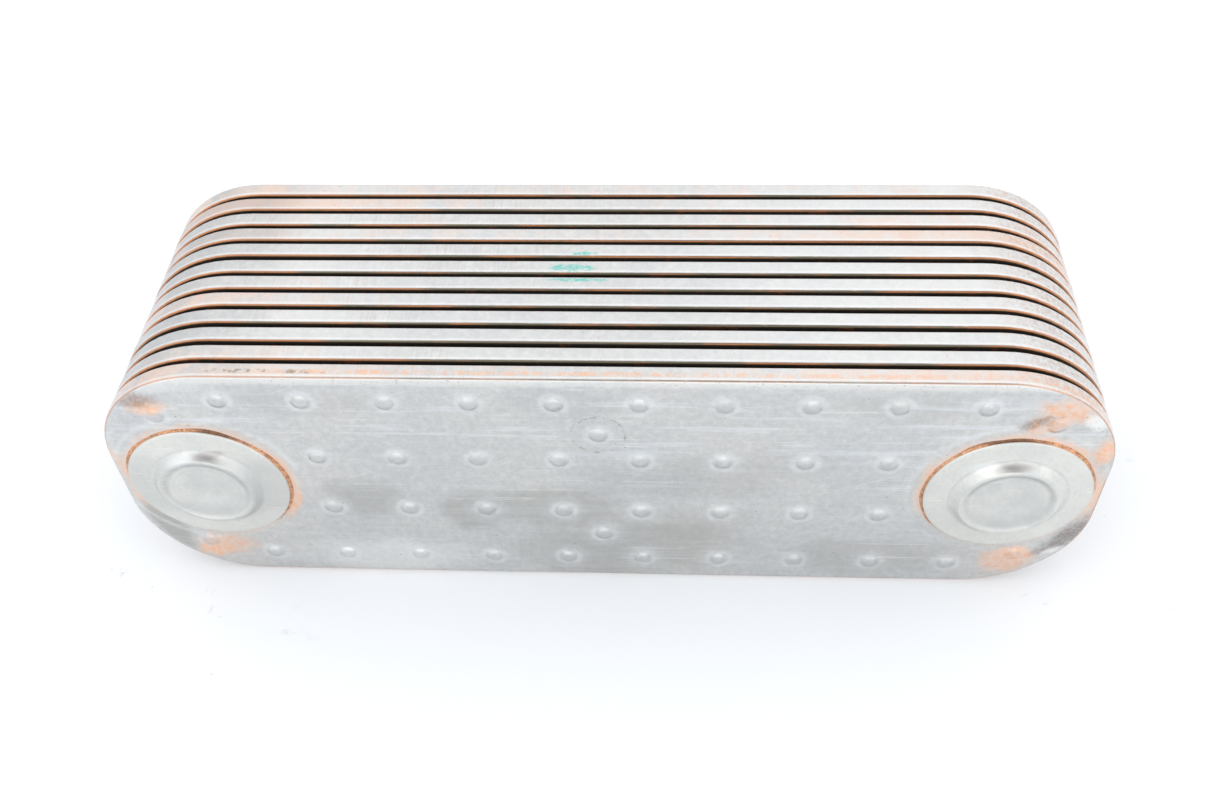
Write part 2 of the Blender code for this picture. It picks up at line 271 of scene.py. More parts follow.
def face_layout(inset, detail):
    """The flat layout of a pressed face: its points and triangles, with rings round each feature."""
    rings = [outline(inset + more, detail) for more in detail["edge_rings"]]
    for side in (-1, 1):
        for i, radius in enumerate(detail["port_rings"]):
            rings.append(circle(side * PORT_U, MIDDLE_V, radius, detail["port"], turn=0.02 * (i % 2)))
    fixed = []
    for cu, cv in plain_dimples() + corner_dimples():
        fixed.append([[cu, cv]])
        for i, radius in enumerate(detail["dimple_rings"]):
            fixed.append(circle(cu, cv, radius, detail["dimple"], turn=0.1 * (i % 2)))
    fixed = np.vstack(fixed)
    rings = np.vstack(rings)
    rings = rings[edge_distance(rings[:, 0], rings[:, 1]) > inset + detail["margin"]]
    fixed = np.vstack((fixed, thin_out(rings, fixed, detail["spacing"])))
    step = detail["face_step"]
    grid = []
    for row, v in enumerate(np.arange(0, PLATE_HEIGHT, step * 0.87)):
        for u in np.arange(-HALF_LENGTH, HALF_LENGTH, step) + (row % 2) * step / 2:
            grid.append((u, v))
    grid = np.array(grid)
    grid = grid[edge_distance(grid[:, 0], grid[:, 1]) > inset + step * 0.6]
    port = np.hypot(np.abs(grid[:, 0]) - PORT_U, grid[:, 1] - MIDDLE_V)
    grid = thin_out(grid[port > PORT_RADIUS + 1], fixed, step * 0.55)
    return triangulate([outline(inset, detail), *ports(detail)], np.vstack((fixed, grid)))


class Sheet:
    """Gathers surfaces in millimetres, then welds them into one closed mesh."""

    def __init__(self):
        self.points = []
        self.faces = []
        self.count = 0

    def add(self, points, faces):
        self.points.append(points)
        self.faces += [[self.count + i for i in face] for face in faces]
        self.count += len(points)

    def fill(self, loops, depth):
        """A flat area within the first loop, less the others."""
        points, filled = triangulate(loops)
        self.add(at_depth(points, depth), filled.tolist())

    def rings(self, rings, closed=False):
        """Bands between rings of equally many points. closed joins the last ring to the first."""
        size = len(rings[0])
        faces = []
        for k in range(len(rings) if closed else len(rings) - 1):
            low, high = k * size, (k + 1) % len(rings) * size
            for i in range(size):
                j = (i + 1) % size
                faces.append((low + i, low + j, high + j, high + i))
        self.add(np.vstack(rings), faces)

    def mesh(self, name, sharp=40):
        made = bpy.data.meshes.new(name)
        made.from_pydata((np.vstack(self.points) * MM).tolist(), [], self.faces)
        bm = bmesh.new()
        bm.from_mesh(made)
        bmesh.ops.remove_doubles(bm, verts=bm.verts, dist=0.000004)
        bmesh.ops.recalc_face_normals(bm, faces=bm.faces)
        bm.to_mesh(made)
        bm.free()
        made.shade_smooth()
        made.set_sharp_from_angle(angle=math.radians(sharp))
        return made


def at_depth(flat, depth):
    """Flat (u, v) points at a depth, or an array of depths, as (x, y, z)."""
    depth = np.broadcast_to(depth, len(flat))
    return np.column_stack((flat[:, 0], depth, flat[:, 1]))


def place(name, mesh, material, slot, *nodes):
    piece = bpy.data.objects.new(name, mesh)
    bpy.context.scene.collection.objects.link(piece)
    mesh.materials.append(material)
    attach(piece, "root")
    if nodes:
        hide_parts(*nodes)
    return piece


# ---------------------------------------------------------------- pressed sheets


def place_sheet(sheet, seed, face_y):
    """Moves a sheet to its place in the stack, a hair askew, with a faint wave along its edges."""
    random = np.random.default_rng(100 + seed)
    shift = random.uniform(-0.12, 0.12, 2)
    points = np.vstack(sheet.points)
    outer = smooth(12, 0, edge_distance(points[:, 0], points[:, 2]))
    wave = waves(points[:, [0, 2]], 200 + seed, (150, 70), 0.035)
    bow = waves(points[:, [0, 2]], 300 + seed, (190, 95), 0.035)
    away = points[:, [0, 2]] - np.array([0, MIDDLE_V])
    away /= np.maximum(np.linalg.norm(away, axis=1), 1)[:, None]
    points[:, 0] += shift[0] + outer * wave * away[:, 0]
    points[:, 2] += shift[1] + outer * wave * away[:, 1]
    points[:, 1] += face_y + outer * bow
    sheet.points = [points]


def pressed_mesh(name, number, detail, layout, seed, heights, face, outward, profile):
    """A pressed sheet. Its features stand off the depth called face, and profile is its edge as
    (inset, depth), which ends at the flat back. outward is -1 where they point to the front."""
    points, triangles = layout
    back = profile[-1][1]
    sheet = Sheet()
    height = pressed_height(points[:, 0], points[:, 1], heights, seed)
    height[edge_distance(points[:, 0], points[:, 1]) < profile[0][0] + 0.01] = 0
    sheet.add(at_depth(points, face + outward * height), triangles.tolist())
    sheet.rings([at_depth(outline(inset, detail), depth) for inset, depth in profile])
    holes = ports(detail)
    for hole in holes:
        sheet.rings([at_depth(hole, face + outward * heights["collar"]), at_depth(hole, back)])
    sheet.fill([outline(profile[-1][0], detail), *holes], back)
    place_sheet(sheet, number, FACE_Y[number])
    return sheet.mesh(name)


def tray_mesh(name, number, detail, layout):
    """A drawn tray: the face, the bend, the sheared back edge and the inside of the rim."""
    turns = np.radians(np.linspace(0, 90, 7))
    profile = [(RIM_BEND * (1 - math.sin(t)), RIM_BEND * (1 - math.cos(t))) for t in turns]
    back = ELEMENT_DEPTH
    profile += [(0, 2.2), (0, 3.4), (0, back - 0.7), (0.02, back - 0.2), (0.12, back - 0.04)]
    profile += [(0.28, back), (SHEET - 0.12, back), (SHEET, back - 0.12), (SHEET, 2.4)]
    profile += [(SHEET, SHEET + INNER_BEND), (SHEET + INNER_BEND * 0.3, SHEET + INNER_BEND * 0.3)]
    profile.append((SHEET + INNER_BEND, SHEET))
    return pressed_mesh(name, number, detail, layout, number, TRAY_HEIGHTS, 0, -1, profile)


def cover_mesh(name, number, detail, layout):
    """A cover plate nested in the rim, with its features pressed towards the back."""
    edge = ((COVER_FLAT_EDGE, 0), (0.1, 0.08), (0, 0.3), (0, SHEET))
    profile = [(COVER_INSET + inset, COVER_FACE - below) for inset, below in edge]
    return pressed_mesh(name, number, detail, layout, 50 + number, COVER_HEIGHTS, COVER_FACE, 1, profile)


def give_rim(mesh, material):
    """Gives all that lies behind the front face a material of its own."""
    mesh.materials.append(material)
    for polygon in mesh.polygons:
        polygon.material_index = int(polygon.center.y / MM - FRONT_Y > 0.12)


def seam_mesh(name, number, detail):
    """The hollow bead of braze between a cover's edge and the rim round it."""
    profile = ((-0.05, 5.14), (0.12, 5.02), (0.5, 4.99), (0.62, 4.9), (0.62, 4.7), (-0.05, 4.7))
    sheet = Sheet()
    rings = [at_depth(outline(SHEET + inset, detail), depth) for inset, depth in profile]
    sheet.rings(rings, closed=True)
    place_sheet(sheet, number, FACE_Y[number])
    return sheet.mesh(name, sharp=60)


# ---------------------------------------------------------------- turned pieces


def rounded(corners, steps=5):
    """A profile of (radius, height) points whose third value rounds the corner by that much."""
    made = []
    for i, (r, h, size) in enumerate(corners):
        here = Vector((r, h))
        if not size or i in (0, len(corners) - 1):
            made.append((r, h))
            continue
        before = Vector(corners[i - 1][:2]) - here
        after = Vector(corners[i + 1][:2]) - here
        start = here + before.normalized() * min(size, before.length * 0.49)
        end = here + after.normalized() * min(size, after.length * 0.49)
        for k in range(steps + 1):
            t = k / steps
            made.append(tuple(start * (1 - t) ** 2 + here * 2 * t * (1 - t) + end * t**2))
    return made


def turned(profile, cu, base_y, outward, steps=128, wobble=None):
    """Rings of a lathe shape about an axis along Y. outward is -1 for a height towards the front, and
    wobble has a change of radius for each ring: one number, or one for each of its points."""
    rings = []
    for k, (radius, height) in enumerate(profile):
        flat = circle(0, 0, max(radius, 0.0005), steps)
        if wobble is not None:
            flat *= (1 + wobble[k] / max(radius, 1))[:, None]
        flat += (cu, MIDDLE_V)
        rings.append(at_depth(flat, base_y + outward * height))
    return rings


def cap_mesh(name, cu):
    """A blind cap: a flat brim, a raised crown and a shallow dish in the crown."""
    outside = [(0, 4.22, 0), (7, 4.14, 3), (12.2, 4.0, 1.0), (13.8, 4.84, 0.5), (14.8, 4.84, 0.6)]
    outside += [(16.6, 3.0, 0.8), (17.6, 2.3, 0.7), (19.8, 1.95, 1.6), (24.2, 1.72, 0.8)]
    outside += [(24.85, 1.55, 0.25), (25.0, 1.2, 0.2), (24.9, 0.95, 0.1)]
    inside = [(18.8, 0.95, 1.5), (14.1, 2.4, 0.8), (12.0, 3.3, 0.8), (0, 3.3, 0)]
    sheet = Sheet()
    sheet.rings(turned(rounded(outside + inside, 7), cu, FRONT_Y, -1))
    return sheet.mesh(name, sharp=50)


def fillet_mesh(name, cu, seed):
    """The bead of braze round a cap's edge, wider here and narrower there."""
    steps = 180
    spread = waves(circle(0, 0, 30, steps), seed, (60, 30, 14), 0.13)
    # Each ring's radius and height, and its share of the spread
    section = [(24.7, 1.3, 0), (25.0, 1.12, 0.05), (25.1, 0.95, 0.2), (25.25, 0.82, 0.4)]
    section += [(25.5, 0.72, 0.7), (25.85, 0.56, 1.0), (25.85, 0.25, 1.0), (24.7, 0.62, 0)]
    profile = [(radius, height) for radius, height, _ in section]
    sheet = Sheet()
    rings = turned(profile, cu, FRONT_Y, -1, steps, [spread * share for _, _, share in section])
    sheet.rings(rings, closed=True)
    return sheet.mesh(name, sharp=60)


def flange_outline(inset, steps=20):
    """The round flange with its two lobes, as (u, v) from the port's axis."""
    body, lobe = FLANGE_BODY - inset, LOBE_RADIUS - inset
    turn = math.asin((FLANGE_BODY - LOBE_RADIUS) / LOBE_OFFSET)
    points = []
    for centre, radius, start, end in (
        (0, body, -turn, turn),
        (LOBE_OFFSET, lobe, turn, math.pi - turn),
        (0, body, math.pi - turn, math.pi + turn),
        (-LOBE_OFFSET, lobe, math.pi + turn, 2 * math.pi - turn),
    ):
        for i in range(steps + 1):
            angle = start + (end - start) * i / steps
            points.append((radius * math.cos(angle), centre + radius * math.sin(angle)))
    return np.array(points)


def flange_mesh(name, cu):
    """A machined flange with rounded edges, a bore, a seal groove and two threaded holes."""
    back = FLANGE_BACK_Y - FLANGE_Y
    shift = np.array((cu, MIDDLE_V))
    sheet = Sheet()
    sides = [(0.35, 0), (0.1, 0.1), (0, 0.35), (0, back - 0.8), (0.07, back - 0.62), (0.74, back - 0.05)]
    sides.append((0.9, back))
    sheet.rings([at_depth(flange_outline(inset) + shift, FLANGE_Y + y) for inset, y in sides])

    bore = [(17.3, 0, 0), (17, 0.3, 0.2), (17, back - 0.9, 0.2), (17.85, back - 0.05, 0.1), (18, back, 0)]
    floor = back - GROOVE_DEPTH
    groove = [(20.4, back, 0), (20.5, back - 0.12, 0.08), (20.5, floor, 0.3), (23.7, floor, 0.3)]
    groove += [(23.7, back - 0.12, 0.08), (23.8, back, 0)]
    loops = []
    for profile in (bore, groove):
        rings = turned(rounded(profile), cu, FLANGE_Y, 1)
        sheet.rings(rings)
        loops += [rings[0][:, [0, 2]], rings[-1][:, [0, 2]]]
    seat, mouth, groove_inner, groove_outer = loops

    holes = []
    for side in (-1, 1):
        profile = [(4.1, 0), (3.5, -0.55)]
        for thread in range(5):
            profile += [(3.95, -0.9 - 0.9 * thread), (3.4, -1.35 - 0.9 * thread)]
        circles = [circle(cu, MIDDLE_V + side * LOBE_OFFSET, radius, 32) for radius, _ in profile]
        sheet.rings([at_depth(flat, FLANGE_BACK_Y + height) for flat, (_, height) in zip(circles, profile)])
        sheet.fill([circles[-1]], FLANGE_BACK_Y + profile[-1][1])
        holes.append(circles[0])
    sheet.fill([flange_outline(sides[0][0]) + shift, seat], FLANGE_Y)
    sheet.fill([groove_inner, mouth], FLANGE_BACK_Y)
    sheet.fill([flange_outline(sides[-1][0]) + shift, groove_outer, *holes], FLANGE_BACK_Y)
    return sheet.mesh(name, sharp=32)


def seal_mesh(name, cu):
    """A round seal ring with the faint flash line of its mould."""
    low, high = (corner[1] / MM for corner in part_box("port_seal_right"))
    rings = []
    steps = 24
    for k in range(steps):
        turn = 2 * math.pi * k / steps
        radius = SEAL_THICKNESS + (0.03 if k in (0, steps // 2) else 0)
        ring = circle(cu, MIDDLE_V, SEAL_RADIUS + radius * math.cos(turn), 128)
        rings.append(at_depth(ring, (low + high) / 2 + radius * math.sin(turn)))
    sheet = Sheet()
    sheet.rings(rings, closed=True)
    return sheet.mesh(name, sharp=60)


# ---------------------------------------------------------------- shader building


class Nodes:
    """Builds a node tree. Its values are node outputs or plain numbers."""

    def __init__(self, tree):
        self.tree = tree

    def join(self, value, socket):
        if isinstance(value, bpy.types.NodeSocket):
            self.tree.links.new(value, socket)
        else:
            socket.default_value = value

    def node(self, kind, inputs, output=0, **settings):
        made = self.tree.nodes.new(kind)
        for key, value in settings.items():
            setattr(made, key, value)
        for key, value in inputs.items():
            self.join(value, made.inputs[key])
        return made.outputs[output]

    def math(self, operation, *values):
        return self.node("ShaderNodeMath", dict(enumerate(values)), operation=operation)

    def vector(self, operation, *values, output=0):
        return self.node("ShaderNodeVectorMath", dict(enumerate(values)), output, operation=operation)

    def axes(self, vector):
        split = self.tree.nodes.new("ShaderNodeSeparateXYZ")
        self.join(vector, split.inputs[0])
        return split.outputs[0], split.outputs[1], split.outputs[2]

    def chain(self, operation, values):
        total, *rest = values
        for value in rest:
            total = self.math(operation, total, value)
        return total

    def plus(self, *values):
        return self.chain("ADD", values)

    def times(self, *values):
        return self.chain("MULTIPLY", values)

    def most(self, *values):
        return self.chain("MAXIMUM", values)

    def least(self, *values):
        return self.chain("MINIMUM", values)

    def minus(self, a, b):
        return self.math("SUBTRACT", a, b)

    def size(self, value):
        return self.math("ABSOLUTE", value)

    def gap(self, a, b):
        """How far a is from b, either way."""
        return self.size(self.minus(a, b))

    def weighted(self, a, weight, b):
        """a times weight, plus b."""
        return self.math("MULTIPLY_ADD", a, weight, b)

    def ramp(self, value, low, high, start=0.0, end=1.0, kind="SMOOTHSTEP"):
        """Runs from start to end as the value runs from low to high."""
        inputs = {"Value": value, "From Min": low, "From Max": high, "To Min": start, "To Max": end}
        return self.node("ShaderNodeMapRange", inputs, interpolation_type=kind)

    def band(self, value, low, full_from, full_to, high):
        """1 from full_from to full_to, and 0 below low and above high."""
        return self.times(self.ramp(value, low, full_from), self.ramp(value, high, full_to))


class Shader(Nodes):
    """A procedural material for a piece. colour is what its coats of paint have come to so far."""

    def __init__(self, name):
        self.material = bpy.data.materials.new(name)
        self.material.use_nodes = True
        super().__init__(self.material.node_tree)
        self.principled = self.tree.nodes["Principled BSDF"]
        coordinates = self.tree.nodes.new("ShaderNodeTexCoord").outputs["Object"]
        # Plate millimetres from the middle of the plates, with Y as it stands in the stack
        self.place = self.vector("MULTIPLY", coordinates, (1000, 1000, 1000))
        self.u, self.y, self.v = self.axes(self.place)
        self.colour = None

    def mix(self, share, a, b):
        inputs = {"Factor": share, 6: self.rgba(a), 7: self.rgba(b)}
        return self.node("ShaderNodeMix", inputs, 2, data_type="RGBA")

    def rgba(self, value):
        return (*value, 1) if isinstance(value, tuple) else value

    def paint(self, tone, *masks):
        """A coat of the tone where all the masks are 1."""
        self.colour = self.mix(self.times(*masks), self.colour, tone)

    def stretched(self, scale, vector=None):
        return self.vector("MULTIPLY", vector or self.place, scale)

    def noise(self, scale, detail=3.0, roughness=0.55, vector=None, seed=0.0):
        """Noise of the given scale per millimetre. seed moves it elsewhere."""
        moved = self.vector("ADD", vector or self.place, (seed * 37.0, seed * 11.0, seed * 23.0))
        inputs = {"Vector": moved, "Scale": scale, "Detail": detail, "Roughness": roughness}
        return self.node("ShaderNodeTexNoise", inputs)

    def patches(self, scale, detail, roughness, seed, low, high, start=0.0, end=1.0, vector=None):
        """Noise cut to patches: start where it is below low, and end where it is above high."""
        return self.ramp(self.noise(scale, detail, roughness, vector, seed), low, high, start, end)

    def rag(self, height, scale, detail, roughness, seed, vector=None):
        """Noise about zero that makes an edge ragged."""
        return self.times(self.minus(self.noise(scale, detail, roughness, vector, seed), 0.5), height)

    def turned(self, vector, angle):
        """The vector turned in the plane of the plate."""
        inputs = {"Vector": vector, "Angle": angle}
        return self.node("ShaderNodeVectorRotate", inputs, rotation_type="Y_AXIS")

    def flat(self, u, v):
        """The step on the plate from the point (u, v)."""
        return self.vector("MULTIPLY", self.vector("SUBTRACT", self.place, (u, 0, v)), (1, 0, 1))

    def blot(self, u, v, wide, high, turn=0.0, ragged=0.35, edge=0.35, grain=0.25, seed=0.0):
        """An oval stain on the plate: 1 inside and 0 outside, with a ragged edge."""
        rotated = self.turned(self.flat(u, v), math.radians(turn))
        reach = self.vector("LENGTH", self.vector("DIVIDE", rotated, (wide, 1, high)), output=1)
        rag = self.rag(ragged * 4, grain, 4, 0.65, seed)
        return self.ramp(self.plus(reach, rag), 1 + edge, 1 - edge)

    def reach(self, a, b):
        """The length of the step (a, b)."""
        return self.vector("LENGTH", self.node("ShaderNodeCombineXYZ", {0: a, 1: b}), output=1)

    def distance(self, u, v):
        """Distance on the plate from the point (u, v)."""
        return self.vector("LENGTH", self.flat(u, v), output=1)

    def bump(self, height, distance):
        """distance is in millimetres per unit of height."""
        return self.node("ShaderNodeBump", {"Height": height, "Distance": distance * MM})

    def finish(self, roughness, normal=None, metallic=1.0):
        self.join(self.rgba(self.colour), self.principled.inputs["Base Color"])
        self.join(roughness, self.principled.inputs["Roughness"])
        self.join(metallic, self.principled.inputs["Metallic"])
        if normal is not None:
            self.join(normal, self.principled.inputs["Normal"])
        return self.material


# ---------------------------------------------------------------- materials

STEEL_WARM = (0.63, 0.625, 0.605)
STEEL_COOL = (0.57, 0.58, 0.583)
STEEL_DARK = (0.38, 0.385, 0.385)
SMUDGE_GREY = (0.385, 0.378, 0.352)
PALE = (0.78, 0.775, 0.75)
# A pale tone for wear, and for painted light and highlights on the rims
WEAR_AND_HIGHLIGHT = (0.93, 0.925, 0.90)
WIPED = (0.74, 0.77, 0.80)
WORN_DIMPLE = (0.78, 0.795, 0.80)
DULL_DIMPLE = (0.44, 0.46, 0.47)
SANDY = (0.84, 0.83, 0.79)
PAD_EDGE_HIGHLIGHT = (0.76, 0.77, 0.76)
ROSE = (0.80, 0.62, 0.52)
COPPER = (0.80, 0.50, 0.34)
ORANGE = (0.86, 0.47, 0.27)
DRAW_MARK = (0.52, 0.42, 0.36)
RUST = (0.56, 0.40, 0.32)
DULL_COPPER = (0.42, 0.36, 0.34)
COPPER_LINE = (0.50, 0.22, 0.10)
COPPER_EDGE = (0.46, 0.30, 0.20)
COPPER_SHEARED = (0.30, 0.17, 0.11)
# Near-black tones for the faces in the gaps: oxide and copper, darkened as painted shade
SHADED_COPPER_INSIDE = (0.27, 0.11, 0.065)
OXIDE_AND_GAP_SHADE = (0.085, 0.075, 0.062)
BROWN = (0.26, 0.17, 0.13)
SOOT = (0.17, 0.155, 0.14)
SOOT_BROWN = (0.34, 0.22, 0.17)
OLIVE = (0.20, 0.17, 0.11)
DOTS = (0.30, 0.27, 0.24)
PAINT = (0.10, 0.56, 0.49)
CAP_PALE = (0.72, 0.717, 0.668)
CAP_GREY = (0.62, 0.629, 0.608)
CAP_DULL = (0.44, 0.45, 0.445)
# Painted reflections on the caps: a dark streak, a highlight and a pale patch
CAP_DARK_REFLECTION = (0.36, 0.32, 0.32)
CAP_HIGHLIGHT = (0.90, 0.93, 0.97)
CAP_PALE_REFLECTION = (0.80, 0.83, 0.87)
BEAD_DARK = (0.36, 0.19, 0.11)
BEAD_ORANGE = (0.80, 0.42, 0.24)
BEAD_SPECK = (0.12, 0.07, 0.045)
BEAD_DARK_STRETCH = (0.10, 0.055, 0.035)
BEAD_PALE = (0.72, 0.66, 0.59)

# How much copper has washed over each rim: at its left end, its middle and its right end
WASH = {
    1: (0.72, 0.54, 0.50),
    2: (0.94, 0.46, 0.34),
    3: (0.46, 0.38, 0.62),
    4: (0.55, 0.55, 0.86),
    5: (0.25, 0.20, 0.44),
    6: (0.18, 0.06, 0.16),
    7: (0.50, 0.12, 0.24),
    8: (0.70, 0.16, 0.28),
    9: (0.14, 0.05, 0.20),
    10: (0.10, 0.08, 0.14),
    11: (0.50, 0.14, 0.36),
    12: (0.78, 0.46, 0.74),
}

# How far the left end of a rim has darkened, where it stands out from the rest
DULL_ENDS = {2: 0.42, 4: 0.30}

# Stains on the front face: centre, half width and half height in mm, turn in degrees, strength
SMUDGES = (
    (8, 16, 32, 16, 0, 0.46),
    (-15, 37, 23, 9, 0, 0.50),
    (-41, 35, 9, 9, 0, 0.56),
    (-76, 40, 13, 9, 0, 0.46),
    (28, 52, 26, 9, 0, 0.26),
    (30, 30, 16, 9, 0, 0.24),
    (84, 14, 26, 10, 0, 0.34),
    (57, 60, 14, 7, 0, 0.18),
    (-88, 86, 20, 6, 0, 0.18),
    (-8, 86, 16, 6, 0, 0.16),
    (88, 86, 16, 7, 0, 0.20),
    (-142.5, 26, 4.6, 16, 17, 0.78),
)
COPPER_STAINS = (
    (-132.6, 82.8, 5.2, 2.6, 8, 0.85),
    (-126.0, 15.0, 8.6, 5.0, 0, 0.66),
    (-131.0, 11.4, 5.4, 3.2, 12, 1.00),
    (-98.4, 37.3, 1.9, 7.0, -24, 0.75),
    (-149.0, 56.0, 1.6, 9.0, 12, 0.45),
    (133.0, 85.0, 7.6, 4.2, -12, 0.85),
    (128.0, 79.6, 5.4, 3.4, 24, 0.80),
    (147.4, 67.5, 3.2, 4.8, 0, 0.95),
    (129.2, 12.6, 7.8, 6.0, 0, 0.72),
    (131.5, 17.0, 4.6, 3.4, 0, 0.95),
    (149.0, 46.0, 1.8, 10.0, 0, 0.50),
)
# Soot has one figure more: how brown it is
SOOT_STAINS = (
    (-135.0, 85.6, 5.2, 2.7, 8, 0.72, 0.9),
    (125.4, 80.4, 5.0, 1.8, 28, 0.70, 0.2),
    (146.4, 28.0, 3.6, 10.0, -34, 0.82, 0.1),
    (139.0, 17.8, 3.4, 1.4, 30, 0.50, 0.3),
)
WHITE_STAINS = (
    (141.9, 80.3, 3.8, 2.4, -38, 0.62),
    (142.4, 18.6, 3.2, 1.6, 34, 0.50),
    (-72, 9, 26, 9, 0, 0.34),
    (-132, 92, 16, 2.4, 0, 0.30),
)

# Strokes of paint on three rims: centre, distance behind the front face, half length, half width in mm
PAINT_STROKES = ((-6.0, 53.2, 3.4, 0.7), (-9.5, 46.9, 7.0, 1.5), (-7.0, 41.3, 9.0, 0.8))
PAINTED_RIMS = (5, 6, 7)

# Where the bead round each cap is darkest, as an oval, how far the painted dark reflection above the cap's
# crown lies from its middle, and how much painted shade the cap has at the sides of its brim and on its
# crown's slope
CAP_BEAD_DARK_OVAL = {"left": (-114, 72.5, 9, 3, -22), "right": (118, 73.5, 11, 3, 0)}
CAP_DARK_REFLECTION_U = {"left": 4.6, "right": -0.8}
CAP_SIDE_SHADE = {"left": 0.36, "right": 0.0}


def steel(s, seed):
    """Rolled sheet: cloudy colour, fine streaks along X, mottling and a little grain."""
    clouds = s.patches(0.026, 5, 0.65, seed, 0.36, 0.64)
    patches = s.patches(0.07, 5, 0.65, seed + 3, 0.38, 0.7)
    s.colour = s.mix(s.weighted(patches, 0.35, s.times(clouds, 0.65)), STEEL_WARM, STEEL_COOL)
    streak = s.noise(1.0, 4, 0.6, s.stretched((0.025, 0.6, 1.1)), seed + 7)
    mottle = s.noise(0.42, 5, 0.75, seed=seed + 8)
    grain = s.noise(1.6, 2, 0.5, seed=seed + 9)
    s.paint(PALE, s.ramp(streak, 0.5, 0.8, 0, 0.26))
    s.paint(STEEL_DARK, s.ramp(mottle, 0.58, 0.36, 0, 0.26))
    s.paint(PALE, s.ramp(mottle, 0.54, 0.70, 0, 0.38))
    s.paint(STEEL_DARK, s.ramp(grain, 0.5, 0.75, 0, 0.14))
    roughness = s.ramp(s.plus(s.times(patches, 0.5), s.times(streak, 0.5)), 0.2, 0.8, 0.3, 0.46)
    return roughness, streak, grain


def rim_colours(s, number, seed, line_share=1.0):
    """A rim seen from its side: draw marks, copper wash, painted light and shade along it, a painted
    highlight on its bend, and a thin line along the bend, partly copper and partly a painted dark reflection.
    """
    depth = s.minus(s.y, FACE_Y[number])
    left, middle, right = WASH[number]
    amount = s.plus(s.ramp(s.u, -104, -20, left, middle), s.ramp(s.u, 20, 90, 0.0, right - middle))
    # Painted light: lighter towards the right half of the rim and in a band near its left end
    painted_light_left = s.times(s.ramp(s.u, -112, -92), s.ramp(s.u, -84, -50, 0.27, 0.16))
    s.paint(WEAR_AND_HIGHLIGHT, s.plus(painted_light_left, s.ramp(s.u, 0, 80, 0.0, 0.22)))
    # Painted shade at the rim's far left end, where it turns round the corner
    s.paint(STEEL_DARK, s.ramp(s.u, -112, -132, 0.0, 0.30))

    # Draw marks run along the stack, in groups where copper has been
    marks = s.noise(1.0, 2, 0.4, s.stretched((2.1, 0.03, 2.1)), seed + 1)
    groups = s.ramp(s.weighted(amount, 0.18, s.noise(0.03, 2, seed=seed + 2)), 0.46, 0.66)
    s.paint(DRAW_MARK, s.ramp(marks, 0.52, 0.64), groups, s.ramp(s.u, 20, -20, 0.2, 1.0), 0.24)

    cloud = s.plus(s.noise(0.09, 6, 0.75, seed=seed + 4), s.weighted(amount, 0.5, -0.3))
    wash = s.ramp(cloud, 0.40, 0.74)
    s.paint(ROSE, wash, 0.78)
    spots = s.patches(0.6, 5, 0.8, seed + 5, 0.54, 0.70)
    s.paint(COPPER, spots, wash, 0.75)
    s.paint(RUST, s.ramp(s.u, 108, 136, 0.0, 0.72), s.patches(0.8, 5, 0.8, seed + 12, 0.42, 0.62))
    s.paint(BROWN, s.patches(0.9, 3, 0.6, seed + 6, 0.68, 0.76), 0.4)
    s.paint(DULL_COPPER, s.ramp(s.u, -92, -112, 0.0, DULL_ENDS.get(number, 0.0)))

    # A painted highlight along the bend at the rim's front edge
    s.paint(WEAR_AND_HIGHLIGHT, s.band(depth, 0.35, 0.7, 0.9, 1.5), 0.35)
    # A thin line along the bend: partly copper braze, partly a painted dark reflection where the bend faces
    # the camera
    ends = s.ramp(s.size(s.u), 70, 125, 0.0, 0.18)
    tint = s.plus(s.noise(0.035, 3, 0.6, seed=seed + 8), s.weighted(amount, 0.22, ends))
    line = s.ramp(depth, 0.62, 0.30, 0.0, line_share)
    s.paint(s.mix(s.ramp(tint, 0.50, 0.66), OLIVE, COPPER_LINE), line)
    return depth, wash, marks, spots


def tray_material(number):
    """A tray seen by its rim, with its face inside the gap painted near-black, as oxide and as painted shade
    of the gap.
    """
    s = Shader(f"tray_{number:02d}")
    seed = number * 1.7
    roughness, _, grain = steel(s, seed)
    depth, wash, marks, spots = rim_colours(s, number, seed)
    # The tray's face seen in the gap, painted near-black: oxide with copper, and painted shade of the gap
    inside = s.ramp(depth, 0.20, 0.04)
    stain = s.patches(0.12, 4, 0.7, seed + 10, 0.54, 0.72)
    s.paint(s.mix(stain, OXIDE_AND_GAP_SHADE, SHADED_COPPER_INSIDE), inside)
    s.paint(COPPER_SHEARED, s.ramp(depth, ELEMENT_DEPTH - 0.35, ELEMENT_DEPTH - 0.1), 0.25)
    if number in PAINTED_RIMS:
        paint_mark(s)
    rough = s.most(roughness, s.times(wash, 0.42), s.times(inside, 0.7))
    relief = s.plus(s.times(marks, 0.5), s.weighted(grain, 0.35, s.times(spots, 0.5)))
    return s.finish(rough, s.bump(relief, 0.05))


def paint_mark(s):
    """A few hasty strokes of green paint across three rims."""
    ragged = s.rag(3.2, 1.0, 4, 0.7, 4.0, s.stretched((0.25, 1.2, 0.2)))
    strokes = []
    for cu, cy, wide, high in PAINT_STROKES:
        du = s.times(s.minus(s.u, cu), 1 / wide)
        dy = s.times(s.minus(s.y, FRONT_Y + cy), 1 / high)
        strokes.append(s.ramp(s.plus(s.reach(du, dy), ragged), 1.1, 0.8))
    s.paint(PAINT, s.most(*strokes), s.patches(0.9, 4, 0.75, 6.0, 0.42, 0.54, 0.15, 0.8))


